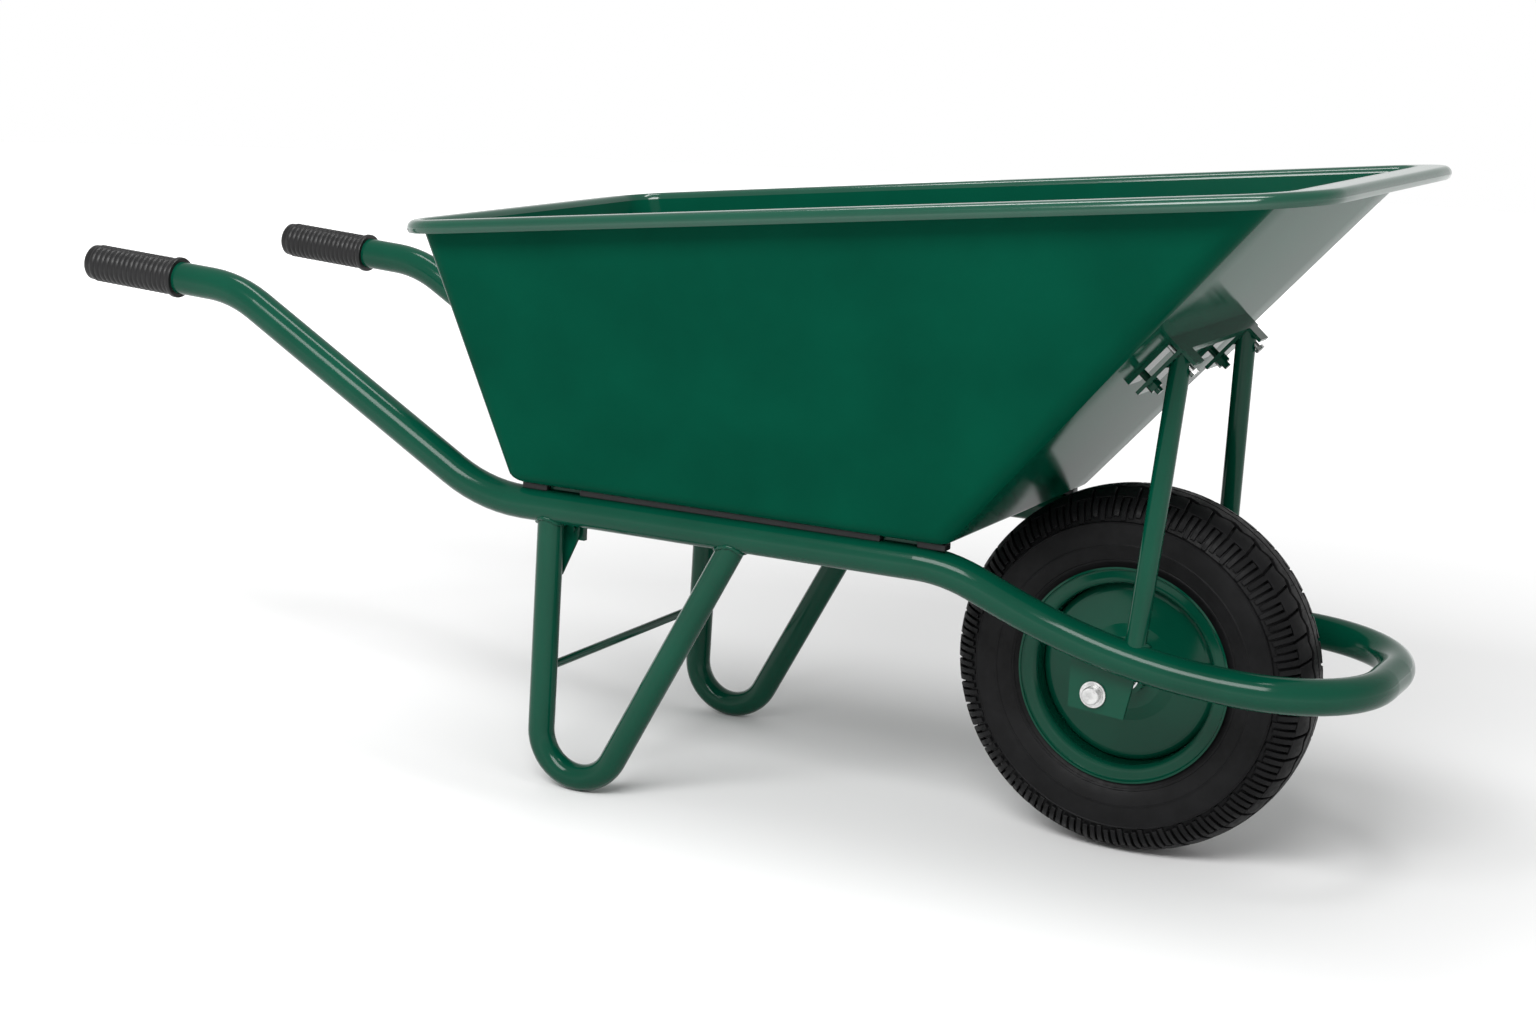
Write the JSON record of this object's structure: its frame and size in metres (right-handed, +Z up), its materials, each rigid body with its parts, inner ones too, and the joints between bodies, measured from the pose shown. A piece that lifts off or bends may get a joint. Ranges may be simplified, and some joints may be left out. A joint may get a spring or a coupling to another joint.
{
  "type": "wheelbarrow",
  "caption": "Single-wheel barrow with a deep pressed tray on a bent-tube frame, U-shaped legs, front stays, ribbed grips and a pneumatic wheel that spins on ball bearings.",
  "frame": {"origin": "on the ground under the middle of the barrow's length and width", "axes": "+X forward to the nose and wheel, +Y to the user's left, +Z up, standing on its wheel and two legs"},
  "size_m": [1.5698, 0.5914, 0.7481],
  "materials": {
    "green_paint": "gloss",
    "grip_rubber": "satin",
    "tyre": "matt",
    "black_rubber": "matt",
    "bearing_steel": "ground",
    "zinc_steel": "zinc plated"
  },
  "bodies": {
    "frame": {"frame_tube": "green_paint", "left_grip": "grip_rubber", "right_grip": "grip_rubber", "left_leg": "green_paint", "right_leg": "green_paint", "leg_brace": "green_paint", "left_gusset": "green_paint", "right_gusset": "green_paint", "gusset_bolts": "zinc_steel", "gusset_nuts": "zinc_steel", "rear_cross_bar": "green_paint", "front_cross_bar": "green_paint", "tray": "green_paint", "tray_bolts": "zinc_steel", "tray_washers": "zinc_steel", "tray_nuts": "zinc_steel", "left_stay": "green_paint", "right_stay": "green_paint", "stay_bracket": "green_paint", "wing_bolts": "zinc_steel", "wing_nuts": "zinc_steel", "stay_bolts": "zinc_steel", "stay_nuts": "zinc_steel", "left_axle_plate": "green_paint", "right_axle_plate": "green_paint", "axle": "zinc_steel", "axle_washers": "zinc_steel", "axle_clips": "zinc_steel", "left_axle_sleeve": "zinc_steel", "right_axle_sleeve": "zinc_steel", "middle_sleeve": "zinc_steel", "bearing_inner_rings": "bearing_steel"},
    "wheel": {"tyre": "tyre", "inner_tube": "black_rubber", "rim": "green_paint", "left_wheel_disc": "green_paint", "right_wheel_disc": "green_paint", "hub": "green_paint", "bearing_outer_rings": "bearing_steel", "bearing_balls": "bearing_steel", "valve_stem": "black_rubber", "valve_cap": "black_rubber"}
  },
  "joints": [
    {"name": "wheel_spin", "type": "hinge", "parent": "frame", "child": "wheel", "pos_m": [0.4955, 0, 0.2], "axis": [0, 1, 0], "continuous": true}
  ]
}
